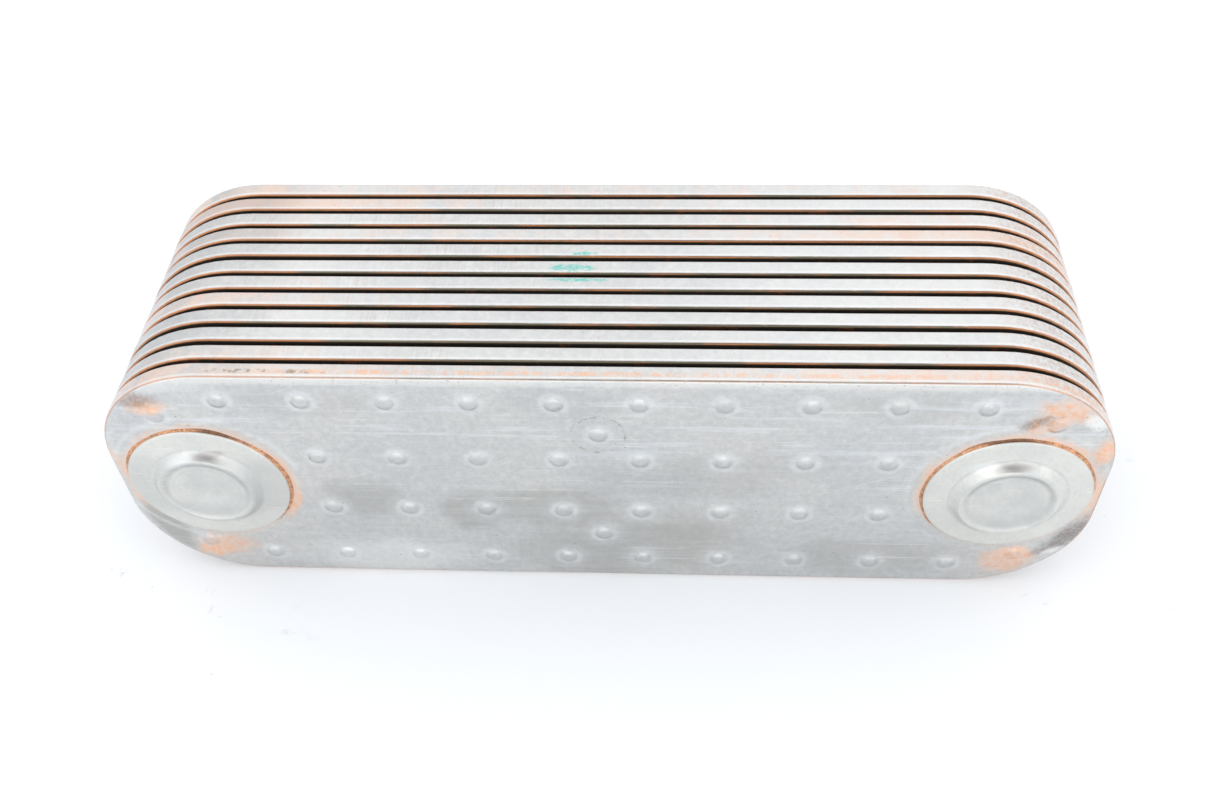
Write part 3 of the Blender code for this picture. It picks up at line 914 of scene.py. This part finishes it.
def dimple_distance(s):
    """Distance to the nearest dimple, found from the even pitch that all the rows share."""
    half = DIMPLE_PITCH / 2
    width = s.size(s.u)
    rise = s.gap(s.v, MIDDLE_V)
    du = s.minus(half, s.math("PINGPONG", s.u, half))
    dv = s.least(s.gap(rise, INNER_ROWS), s.gap(rise, OUTER_ROWS))
    beyond = s.ramp(width, 9.5 * half, 10 * half, 0.0, 30.0)
    rows = s.plus(s.reach(du, dv), beyond)
    pair = s.reach(s.u, s.minus(rise, MIDDLE_PAIR))
    corner = s.reach(s.minus(width, CORNER_DIMPLE[0]), s.minus(rise, CORNER_DIMPLE[1]))
    return s.least(rows, pair, corner)


def front_material():
    """The front tray's open face, with its stains and its worn dimples."""
    s = Shader("front_face")
    roughness, streak, grain = steel(s, 31.0)
    near = dimple_distance(s)

    # Grey smudges that cleaning has left, kept off the raised dimples
    apart = s.ramp(near, 4.0, 9.0, 0.35, 1.0)
    for number, (*oval, strength) in enumerate(SMUDGES):
        s.paint(SMUDGE_GREY, s.blot(*oval, 0.42, 0.38, 0.055, number * 1.3), apart, strength)

    # Light wipe marks, long scratches, and short ones at a slant
    wipe = s.patches(1.0, 4, 0.65, 11.0, 0.52, 0.64, vector=s.stretched((0.02, 1, 0.35)))
    s.paint(WIPED, wipe, s.weighted(s.band(s.v, 56, 70, 82, 92), 0.34, 0.14))
    scratch = s.patches(1.0, 2, 0.5, 12.0, 0.63, 0.68, vector=s.stretched((0.014, 1, 1.3)))
    s.paint(PALE, scratch, s.patches(0.05, 2, 0.55, 13.0, 0.46, 0.6), 0.5)
    slant = s.stretched((0.05, 1, 1.6), s.turned(s.place, 0.4))
    s.paint(PALE, s.patches(1.0, 2, 0.5, 14.0, 0.69, 0.73, vector=slant), 0.35)

    copper_halo(s)
    for number, (*oval, strength) in enumerate(COPPER_STAINS):
        tone = s.mix(s.patches(0.5, 5, 0.8, number + 0.5, 0.38, 0.62), ROSE, ORANGE)
        s.paint(tone, s.blot(*oval, 0.34, 0.55, 0.22, number * 1.9), strength)
    for number, (*oval, strength, brown) in enumerate(SOOT_STAINS):
        broken = s.patches(1.1, 4, 0.8, number + 3.5, 0.34, 0.60, 0.45, 1.0)
        tone = s.mix(s.weighted(s.noise(0.8, 3, seed=number + 7.0), 0.3, brown), SOOT, SOOT_BROWN)
        s.paint(tone, s.blot(*oval, 0.42, 0.6, 0.35, number * 2.3), broken, strength)
    for number, (*oval, strength) in enumerate(WHITE_STAINS):
        s.paint(WEAR_AND_HIGHLIGHT, s.blot(*oval, 0.30, 0.5, 0.2, number * 3.1), strength)
    pits = s.patches(0.75, 2, 0.4, 21.0, 0.735, 0.775)
    burnt = s.times(s.blot(145.0, 79.5, 3.6, 6.0, 28, seed=4.4), s.patches(1.4, 3, 0.7, 5.4, 0.60, 0.66))
    s.paint(SOOT, s.most(s.times(pits, 0.6), s.times(burnt, 0.85)))

    # Each dimple: a worn ring round a duller top, fainter where copper lies
    fading = s.patches(0.16, 4, 0.7, 28.0, 0.34, 0.60, 0.15, 0.85)
    red, _, blue = s.axes(s.colour)
    uncoppered = s.ramp(s.minus(red, blue), 0.08, 0.30, 0.50, 0.12)
    s.paint(WORN_DIMPLE, s.band(near, 2.7, 3.2, 3.8, 5.4), fading, uncoppered)
    s.paint(DULL_DIMPLE, s.ramp(near, 2.9, 2.0), 0.22)

    # A line of dots round the upper one of the middle pair
    ring = s.reach(s.u, s.minus(s.v, MIDDLE_V + MIDDLE_PAIR))
    s.paint(DOTS, s.ramp(s.gap(ring, 7.9), 0.55, 0.2), s.patches(0.7, 3, 0.6, 29.0, 0.48, 0.60), 0.6)

    # A paler, speckled strip along the upper edge and a copper line along the lower one
    uneven = s.plus(s.v, s.times(s.noise(0.2, 3, seed=22.0), 2.0))
    strip = s.ramp(uneven, PLATE_HEIGHT - 3.0, PLATE_HEIGHT - 0.8)
    s.paint(SANDY, strip, 0.55)
    fleck = s.patches(1.0, 3, 0.6, 23.0, 0.62, 0.70, vector=s.stretched((0.9, 1, 1.8)))
    s.paint(BROWN, fleck, strip, 0.6)
    s.paint(COPPER_EDGE, s.ramp(s.v, 1.3, 0.5), 0.6)

    relief = s.plus(s.times(streak, 0.45), s.weighted(grain, 0.35, s.times(scratch, 0.25)))
    return s.finish(roughness, s.bump(relief, 0.035))


def front_rim_material():
    """The front tray's rim: sandy, with a row of dots that are dark at the left and copper further on."""
    s = Shader("front_rim")
    roughness, _, grain = steel(s, 33.0)
    s.paint(STEEL_DARK, s.patches(1.3, 4, 0.8, 30.0, 0.42, 0.66, 0.0, 0.30))
    depth, _, marks, spots = rim_colours(s, ELEMENTS, 20.4, 0.55)
    row = s.band(depth, 1.3, 1.9, 2.7, 3.5)
    dots = s.patches(0.5, 5, 0.75, 25.0, 0.43, 0.58)
    s.paint(ORANGE, row, dots, s.ramp(s.u, -104, -84), s.ramp(s.u, 0, 60, 0.75, 0.5))
    dark_dots = s.patches(0.4, 5, 0.75, 26.0, 0.48, 0.60)
    s.paint(OLIVE, row, dark_dots, s.band(s.u, -118, -106, -84, -70), 0.65)
    relief = s.plus(s.times(spots, 0.5), s.weighted(grain, 0.35, s.times(marks, 0.4)))
    return s.finish(roughness, s.bump(relief, 0.05))


def copper_halo(s):
    """A faint copper bloom round each cap, and a painted highlight along its pad's edge."""
    upper = s.ramp(s.v, MIDDLE_V - 18, MIDDLE_V - 4, 0.25, 1.0)
    for side, seed in ((-1, 3.0), (1, 8.0)):
        radius = s.distance(side * PORT_U, MIDDLE_V)
        ragged = s.plus(radius, s.rag(6.0, 0.12, 4, 0.7, seed))
        patchy = s.patches(0.045, 2, 0.5, seed + 1, 0.40, 0.60, 0.45, 1.0)
        s.paint(ROSE, s.ramp(ragged, 29.5, 26.0), upper, patchy, 0.70)
        s.paint(COPPER, s.ramp(ragged, 27.6, 25.6), upper, patchy, 0.66)
        # A painted highlight where the pad's edge slopes
        line = s.ramp(s.gap(radius, 29.6), 1.3, 0.3)
        s.paint(PAD_EDGE_HIGHLIGHT, line, s.patches(0.06, 3, 0.55, seed + 2, 0.36, 0.60), 0.34)


def rear_cover_material():
    """The rear cover: steel with copper along its seam and round its collars."""
    s = Shader("rear_cover")
    roughness, streak, grain = steel(s, 51.0)
    dv = s.minus(s.v, MIDDLE_V)
    radius = s.reach(s.minus(s.size(s.u), PORT_U), dv)
    rag = s.rag(12.0, 0.1, 3, 0.6, 52.0)
    s.paint(ROSE, s.ramp(s.plus(radius, rag), 36.0, 28.0), 0.75)
    edge = s.minus(MIDDLE_V, s.size(dv))
    s.paint(COPPER, s.ramp(s.plus(edge, s.times(rag, 0.3)), 5.0, 1.0), 0.7)
    s.paint(ROSE, s.patches(0.05, 5, 0.7, 53.0, 0.56, 0.7), 0.5)
    s.paint(STEEL_DARK, s.patches(0.09, 5, 0.7, 54.0, 0.6, 0.74), 0.6)
    relief = s.weighted(grain, 0.4, s.times(streak, 0.4))
    return s.finish(roughness, s.bump(relief, 0.04))


def hidden_cover_material():
    """The covers inside the stack: painted near-black, as oxide and as painted shade of the gaps, with copper
    where braze has run.
    """
    s = Shader("inner_cover")
    # Painted near-black: oxide, and painted shade of the gaps these covers face
    s.colour = s.mix(s.patches(0.15, 4, 0.7, 61.0, 0.5, 0.7), (0.05, 0.042, 0.038), (0.30, 0.13, 0.07))
    return s.finish(0.6, s.bump(s.noise(1.5, 2, seed=62.0), 0.03))


def seam_material():
    """Copper braze, burnt dark in spots."""
    s = Shader("seam_braze")
    s.colour = s.mix(s.patches(0.4, 4, 0.7, 41.0, 0.35, 0.65), (0.36, 0.13, 0.055), (0.75, 0.33, 0.16))
    dark = s.patches(0.22, 4, 0.7, 42.0, 0.52, 0.7, 0.0, 0.75)
    s.paint((0.045, 0.02, 0.014), dark)
    return s.finish(s.ramp(dark, 0, 1, 0.33, 0.6), s.bump(s.noise(0.9, 3, seed=44.0), 0.08))


def bead_material(name, side):
    """The bead round a cap: orange and speckled above, darker in one stretch, and paler below."""
    s = Shader(f"cap_braze_{name}")
    seed = 11.0 + side
    s.colour = s.mix(s.patches(0.5, 5, 0.8, seed, 0.36, 0.64), BEAD_DARK, BEAD_ORANGE)
    speck = s.patches(1.2, 4, 0.8, seed + 1, 0.52, 0.64)
    s.paint(BEAD_SPECK, speck, 0.6)
    s.paint(BEAD_DARK_STRETCH, s.blot(*CAP_BEAD_DARK_OVAL[name], 0.25, 0.5, 0.3, seed + 2), 0.72)
    slope = s.times(s.minus(s.u, side * PORT_U), -0.5 * side)
    level = s.plus(s.v, s.rag(24.0, 0.06, 3, 0.6, seed + 4), slope)
    s.paint(BEAD_PALE, s.ramp(level, MIDDLE_V - 3, MIDDLE_V - 14))
    relief = s.noise(0.9, 3, seed=seed + 3)
    return s.finish(s.ramp(speck, 0, 1, 0.34, 0.55), s.bump(relief, 0.08))


def cap_material(name, side):
    """A pressed cap: faintly green satin steel, with the rings that its drawing has left, and painted shade,
    highlights and reflections on its crown.
    """
    s = Shader(f"cap_{name}")
    seed = 5.0 + side
    middle_u = side * PORT_U
    radius = s.distance(middle_u, MIDDLE_V)
    unround = s.plus(radius, s.rag(0.9, 0.1, 3, 0.55, seed + 6))
    rings = s.noise(1.0, 3, 0.6, s.node("ShaderNodeCombineXYZ", {0: s.times(radius, 1.1), 1: seed}))
    clouds = s.patches(0.07, 5, 0.65, seed, 0.36, 0.66)
    s.colour = s.mix(clouds, CAP_PALE, CAP_GREY)
    brim = s.ramp(unround, 17.0, 18.4)
    s.paint(CAP_PALE, brim, 0.55)
    s.paint(CAP_DULL, s.ramp(rings, 0.5, 0.75, 0, 0.22))
    # Painted shade at the sides of the brim and on the crown's slope, on the left cap only
    sides = s.times(brim, s.ramp(s.gap(s.v, MIDDLE_V), 18, 7))
    slope = s.band(unround, 13.4, 14.4, 16.8, 17.8)
    s.paint(CAP_DULL, s.most(sides, slope), CAP_SIDE_SHADE[name])

    # Painted shade: a darker dish, darkest low down, and dark lines at the crown's edge and foot, strongest
    # above
    s.paint(CAP_DULL, s.ramp(unround, 13.8, 12.6), s.ramp(s.v, MIDDLE_V - 10, MIDDLE_V - 2, 0.38, 0.14))
    upper = s.ramp(s.v, MIDDLE_V - 10, MIDDLE_V + 10, 0.30, 1.0)
    broken = s.patches(0.16, 4, 0.7, seed + 7, 0.30, 0.56, 0.35, 1.0)
    for at, wide, strength in ((12.9, 1.9, 0.72), (17.7, 0.7, 0.34), (10.2, 0.4, 0.12)):
        s.paint(CAP_DULL, s.ramp(s.gap(unround, at), wide, 0.0), upper, broken, strength)

    # Painted reflections: a dark streak above the crown where its slope faces the camera, a painted highlight
    # beside it, and a pale patch on the dish
    reflection_u = middle_u + CAP_DARK_REFLECTION_U[name]
    streak = s.blot(reflection_u, MIDDLE_V + 16.2, 5.0, 1.1, -3 * side, 0.2, 0.5, 0.3, seed + 8)
    s.paint(CAP_DARK_REFLECTION, streak, 0.52)
    s.paint(CAP_HIGHLIGHT, s.blot(reflection_u - 9.5, MIDDLE_V + 14.6, 5.0, 1.5, 24, 0.2, 0.6, 0.2, seed + 9), 0.25)
    s.paint(CAP_PALE_REFLECTION, s.blot(middle_u + 1.5, MIDDLE_V - 5.5, 6.5, 3.6, 0, 0.4, 0.6, 0.12, seed + 10), 0.15)

    s.paint(STEEL_DARK, s.patches(0.3, 5, 0.75, seed + 1, 0.58, 0.74), 0.24)
    s.paint(CAP_DULL, s.patches(0.9, 4, 0.75, seed + 11, 0.56, 0.38, 0, 0.14))
    hair = s.patches(1.0, 2, 0.5, seed + 2, 0.69, 0.73, vector=s.stretched((0.07, 1, 1.8)))
    s.paint(WEAR_AND_HIGHLIGHT, hair, 0.35)
    s.paint(ROSE, s.ramp(radius, 24.2, 25.2), s.patches(0.3, 3, 0.55, seed + 3, 0.42, 0.62), 0.45)
    relief = s.plus(s.times(rings, 0.4), s.times(s.noise(1.4, 2, seed=seed + 4), 0.35))
    return s.finish(s.ramp(clouds, 0, 1, 0.33, 0.42), s.bump(relief, 0.03))


def flange_material(name, side):
    """Machined steel with the rings of a facing cut about the port."""
    s = Shader(f"flange_{name}")
    cut = s.math("SINE", s.times(s.distance(side * PORT_U, MIDDLE_V), 2 * math.pi / 0.35))
    clouds = s.noise(0.05, 4, 0.6, seed=71.0 + side)
    s.colour = s.mix(s.ramp(clouds, 0.35, 0.65), (0.56, 0.56, 0.55), (0.47, 0.48, 0.49))
    s.paint(ROSE, s.patches(0.12, 4, 0.7, 73.0 + side, 0.56, 0.72), 0.45)
    s.paint(COPPER, s.ramp(s.y, FLANGE_Y + 1.6, FLANGE_Y + 0.2), 0.8)
    relief = s.plus(s.times(cut, 0.12), s.noise(1.2, 2, seed=75.0))
    return s.finish(s.ramp(clouds, 0.3, 0.7, 0.22, 0.34), s.bump(relief, 0.02))


def seal_material():
    """Black rubber with a faint grey bloom."""
    s = Shader("seal_rubber")
    bloom = s.patches(0.25, 4, 0.7, 81.0, 0.4, 0.7)
    s.colour = s.mix(bloom, (0.012, 0.012, 0.013), (0.035, 0.035, 0.034))
    rough = s.ramp(bloom, 0, 1, 0.42, 0.6)
    return s.finish(rough, s.bump(s.noise(2.5, 2, seed=82.0), 0.02), metallic=0.0)


def fin_material():
    """Folded fin sheet with copper drawn over it."""
    s = Shader("fin_sheet")
    s.colour = s.mix(s.patches(0.09, 4, 0.7, 91.0, 0.4, 0.65), (0.42, 0.40, 0.37), (0.58, 0.33, 0.21))
    return s.finish(0.42, s.bump(s.noise(1.5, 2, seed=92.0), 0.03))


def floor_material():
    """White studio paper, faintly blue, scuffed here and there."""
    s = Shader("floor_paper")
    scuffs = s.patches(0.05, 6, 0.8, 5.0, 0.56, 0.70)
    where = s.patches(0.009, 2, 0.55, 6.0, 0.48, 0.60)
    s.colour = s.mix(s.times(scuffs, where, 0.5), (0.915, 0.935, 0.955), (0.74, 0.78, 0.82))
    s.paint((0.50, 0.53, 0.55), s.patches(0.16, 5, 0.8, 8.0, 0.62, 0.70), where, 0.45)
    # The paper glows faintly with its own colour: painted light that lifts the shadows on it
    s.join(s.colour, s.principled.inputs["Emission Color"])
    s.principled.inputs["Emission Strength"].default_value = 0.08
    return s.finish(0.75, metallic=0.0)


# ---------------------------------------------------------------- the object


def layouts(inset):
    """The fine and the coarse layout of a face, by whether it can be seen."""
    return {seen: (detail, face_layout(inset, detail)) for seen, detail in ((True, FINE), (False, COARSE))}


def build_elements():
    """The twelve elements, finely meshed where they can be seen: the front tray and the rear cover."""
    trays = layouts(RIM_BEND)
    covers = layouts(COVER_INSET + COVER_FLAT_EDGE)
    inner_cover = hidden_cover_material()
    seam = seam_material()
    for number in range(1, ELEMENTS + 1):
        front = number == ELEMENTS
        mesh = tray_mesh(f"tray_{number:02d}_sheet", number, *trays[front])
        material = front_material() if front else tray_material(number)
        place(f"tray_{number:02d}", mesh, material, "tray_steel", f"tray_shell_{number:02d}")
        if front:
            give_rim(mesh, front_rim_material())

        rear = number == 1
        mesh = cover_mesh(f"cover_{number:02d}_sheet", number, *covers[rear])
        material = rear_cover_material() if rear else inner_cover
        place(f"cover_{number:02d}", mesh, material, "cover_steel", f"cover_plate_{number:02d}")
        mesh = seam_mesh(f"seam_{number:02d}_bead", number, FINE if rear else COARSE)
        place(f"seam_{number:02d}", mesh, seam, "tray_steel")


def build_ports():
    """The caps, flanges and seals at both ports."""
    for name, side in SIDES.items():
        cu = side * PORT_U
        cap = cap_mesh(f"cap_{name}_pressing", cu)
        place(f"cap_{name}", cap, cap_material(name, side), "cap_steel", f"blind_cap_{name}")
        bead = fillet_mesh(f"cap_bead_{name}_ring", cu, 7 + side)
        place(f"cap_bead_{name}", bead, bead_material(name, side), "cap_steel")
        flange = flange_mesh(f"flange_{name}_body", cu)
        place(f"flange_{name}", flange, flange_material(name, side), "flange_steel", f"port_flange_{name}")
        seal = seal_mesh(f"seal_{name}_ring", cu)
        place(f"seal_{name}", seal, seal_material(), "seal_rubber", f"port_seal_{name}")


def coat_fins():
    """The turbulators stay as the frame has them, with a material of their own."""
    fin = fin_material()
    for number in range(1, ELEMENTS + 1):
        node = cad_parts[f"turbulator_{number:02d}"]
        node.data.materials.clear()
        node.data.materials.append(fin)


# ---------------------------------------------------------------- the studio

# Radiance of the room at the horizon and overhead, and what the front adds
ROOM_LOW = 1.08
ROOM_HIGH = 1.3
ROOM_FRONT = 0.5
ROOM_COLOUR = (0.985, 0.995, 1.02, 1)
# The dark patch round the camera: its outer and inner half angle in degrees, and what it leaves of the light
PATCH_EDGE = (27, 16)
PATCH_SHARE = 0.2
FLOOR_HALF = 3.0
LENS = 37.61
SENSOR = 36.0
CAMERA_OFFSET = (0.02385, -0.24075, 0.35621)
CAMERA_TURN = (4.937, -48.2025, 3.071)


def build_floor():
    mesh = bpy.data.meshes.new("floor")
    corners = [(su * FLOOR_HALF, sv * FLOOR_HALF, 0) for su, sv in ((-1, -1), (1, -1), (1, 1), (-1, 1))]
    mesh.from_pydata(corners, [], [(0, 1, 2, 3)])
    mesh.materials.append(floor_material())
    floor = bpy.data.objects.new("floor", mesh)
    bpy.context.scene.collection.objects.link(floor)


def build_world(camera_direction):
    """A white room, brightest in front and overhead, with a darker patch where the photographer stands."""
    world = bpy.data.worlds.new("studio")
    bpy.context.scene.world = world
    world.use_nodes = True
    sky = Nodes(world.node_tree)
    direction = sky.tree.nodes.new("ShaderNodeTexCoord").outputs["Generated"]
    _, away, upward = sky.axes(direction)
    height = sky.ramp(upward, 0.0, 1.0, ROOM_LOW, ROOM_HIGH, kind="LINEAR")
    front = sky.ramp(away, -0.1, -0.9, 0.0, ROOM_FRONT, kind="LINEAR")
    toward = sky.vector("DOT_PRODUCT", direction, camera_direction, output=1)
    outer, inner = (math.cos(math.radians(angle)) for angle in PATCH_EDGE)
    shade = sky.ramp(toward, outer, inner, 1.0, PATCH_SHARE)
    background = sky.tree.nodes["Background"]
    background.inputs["Color"].default_value = ROOM_COLOUR
    sky.join(sky.times(sky.plus(height, front), shade), background.inputs["Strength"])


def build_camera():
    """The photograph's view: from in front and above, turned a little left and tilted a little."""
    camera = bpy.data.cameras.new("camera")
    camera.lens = LENS
    camera.sensor_width = SENSOR
    camera.clip_start = 0.01
    holder = bpy.data.objects.new("camera", camera)
    yaw, pitch, roll = (math.radians(a) for a in CAMERA_TURN)
    level = Matrix.Rotation(math.radians(90), 4, "X")
    turn = Matrix.Rotation(yaw, 4, "Z") @ Matrix.Rotation(pitch, 4, "X") @ Matrix.Rotation(roll, 4, "Y")
    x, y, z = CAMERA_OFFSET
    eye = Vector((x, FRONT_Y * MM + y, z))
    holder.matrix_world = Matrix.Translation(eye) @ turn @ level
    bpy.context.scene.collection.objects.link(holder)
    bpy.context.scene.camera = holder
    return eye


build_elements()
build_ports()
coat_fins()
build_floor()
build_world(build_camera().normalized())
bpy.context.scene.view_settings.view_transform = "Standard"
bpy.context.scene.view_settings.look = "None"
